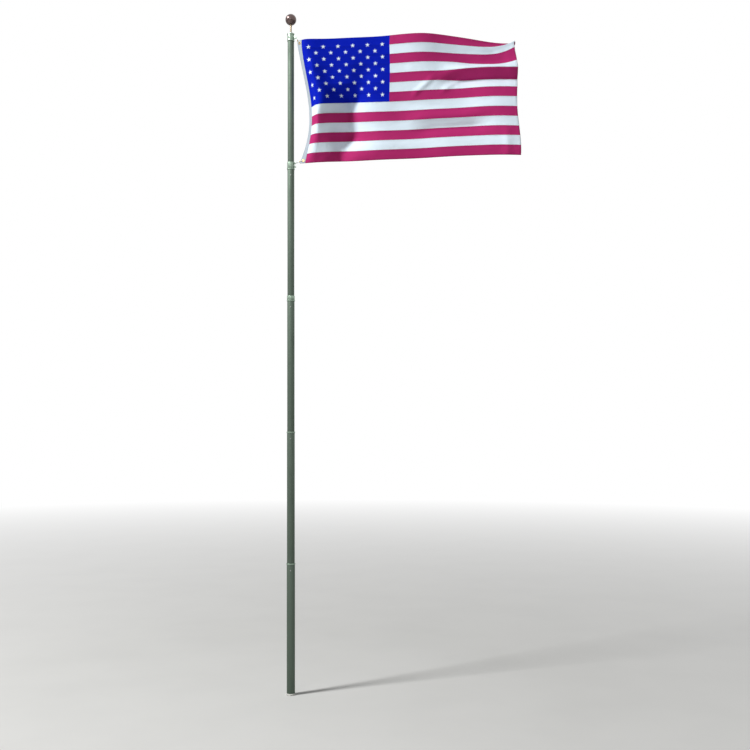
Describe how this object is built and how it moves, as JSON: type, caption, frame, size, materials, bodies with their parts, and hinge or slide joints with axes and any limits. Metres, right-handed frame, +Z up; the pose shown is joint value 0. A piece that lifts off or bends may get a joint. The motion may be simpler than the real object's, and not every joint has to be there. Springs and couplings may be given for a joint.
{
  "type": "telescoping flagpole with flag",
  "caption": "Telescoping aluminium flagpole with a ball finial, swivel rings and snap hooks, flying a striped flag with a starred canton.",
  "frame": {"origin": "centre of the bottom plug's face, on the pole's axis at ground level", "axes": "+Z up along the pole; +X towards the side the flag flies to; the front, with the lock buttons, faces -Y"},
  "size_m": [1.6155, 0.2218, 4.7309],
  "materials": {
    "pole_aluminium": "satin",
    "ball_gold": "gold anodised, satin",
    "rod_brass": "polished",
    "grommet_brass": "satin",
    "snap_steel": "nickel plated",
    "button_steel": "satin",
    "plug_plastic": "matte",
    "sleeve_plastic": "matte",
    "flag_nylon": "woven nylon, red and white stripes with a blue canton",
    "heading_canvas": "white canvas"
  },
  "bodies": {
    "ground_section": {"bottom_tube": "pole_aluminium", "bottom_tube_rim": "pole_aluminium", "bottom_lock_button": "button_steel", "bottom_plug": "plug_plastic", "ground_sleeve_rim": "sleeve_plastic"},
    "second_section": {"second_tube": "pole_aluminium", "second_tube_rim": "pole_aluminium", "second_lock_button": "button_steel"},
    "third_section": {"third_tube": "pole_aluminium", "third_tube_rim": "pole_aluminium", "third_lock_button": "button_steel"},
    "fourth_section": {"fourth_tube": "pole_aluminium", "fourth_tube_rim": "pole_aluminium", "fourth_lock_button": "button_steel"},
    "top_section": {"top_tube": "pole_aluminium", "stop_collar": "pole_aluminium", "cap": "pole_aluminium", "ball_nut": "snap_steel", "ball_rod": "rod_brass", "ball_ferrule": "rod_brass", "ball_lower_half": "ball_gold", "ball_upper_half": "ball_gold"},
    "top_swivel": {"top_swivel_ring": "pole_aluminium", "upper_snap_eye": "snap_steel", "upper_snap_hook": "snap_steel", "flag_heading": "heading_canvas", "flag_field": "flag_nylon", "upper_grommet": "grommet_brass"},
    "upper_gate": {"upper_snap_gate": "snap_steel"},
    "middle_swivel": {"middle_swivel_ring": "pole_aluminium", "lower_snap_eye": "snap_steel", "lower_snap_hook": "snap_steel", "lower_grommet": "grommet_brass"},
    "lower_gate": {"lower_snap_gate": "snap_steel"},
    "spare_swivel": {"spare_swivel_ring": "pole_aluminium"},
    "spare_snap": {"spare_snap_eye": "snap_steel"},
    "spare_hook": {"spare_snap_hook": "snap_steel"},
    "spare_gate": {"spare_snap_gate": "snap_steel"}
  },
  "joints": [
    {"name": "second_section_slide", "type": "slide", "parent": "ground_section", "child": "second_section", "axis": [0, 0, 1], "range_m": [-0.8084, 0]},
    {"name": "third_section_slide", "type": "slide", "parent": "second_section", "child": "third_section", "axis": [0, 0, 1], "range_m": [-0.8084, 0]},
    {"name": "fourth_section_slide", "type": "slide", "parent": "third_section", "child": "fourth_section", "axis": [0, 0, 1], "range_m": [-0.8084, 0]},
    {"name": "top_section_slide", "type": "slide", "parent": "fourth_section", "child": "top_section", "axis": [0, 0, 1], "range_m": [-0.8084, 0], "deforming": ["flag_heading", "flag_field"]},
    {"name": "top_swivel_turn", "type": "hinge", "parent": "top_section", "child": "top_swivel", "pos_m": [0, 0, 4.565], "axis": [0, 0, 1], "continuous": true},
    {"name": "middle_swivel_turn", "type": "hinge", "parent": "fourth_section", "child": "middle_swivel", "pos_m": [0, 0, 3.6924], "axis": [0, 0, 1], "continuous": true},
    {"name": "spare_swivel_turn", "type": "hinge", "parent": "third_section", "child": "spare_swivel", "pos_m": [0, 0, 2.758], "axis": [0, 0, 1], "continuous": true},
    {"name": "spare_snap_swing", "type": "hinge", "parent": "spare_swivel", "child": "spare_snap", "pos_m": [0, 0.04201, 2.758], "axis": [1, 0, 0], "range_deg": [0, 75]},
    {"name": "spare_snap_turn", "type": "hinge", "parent": "spare_snap", "child": "spare_hook", "pos_m": [0, 0.04201, 2.7253], "axis": [0, 0, 1], "continuous": true},
    {"name": "upper_gate_swing", "type": "hinge", "parent": "top_swivel", "child": "upper_gate", "pos_m": [0.0453, -0.03299, 4.53688], "axis": [0.5896, -0.5327, 0.6071], "range_deg": [0, 25]},
    {"name": "lower_gate_swing", "type": "hinge", "parent": "middle_swivel", "child": "lower_gate", "pos_m": [0.0612, -0.02607, 3.70141], "axis": [-0.1482, 0.2573, 0.9549], "range_deg": [0, 25]},
    {"name": "spare_gate_swing", "type": "hinge", "parent": "spare_hook", "child": "spare_gate", "pos_m": [-0.006, 0.04201, 2.7231], "axis": [0, -1, 0], "range_deg": [0, 25]}
  ],
  "couplings": [
    {"joint": "middle_swivel_turn", "follows": "top_swivel_turn", "ratio": 1}
  ]
}
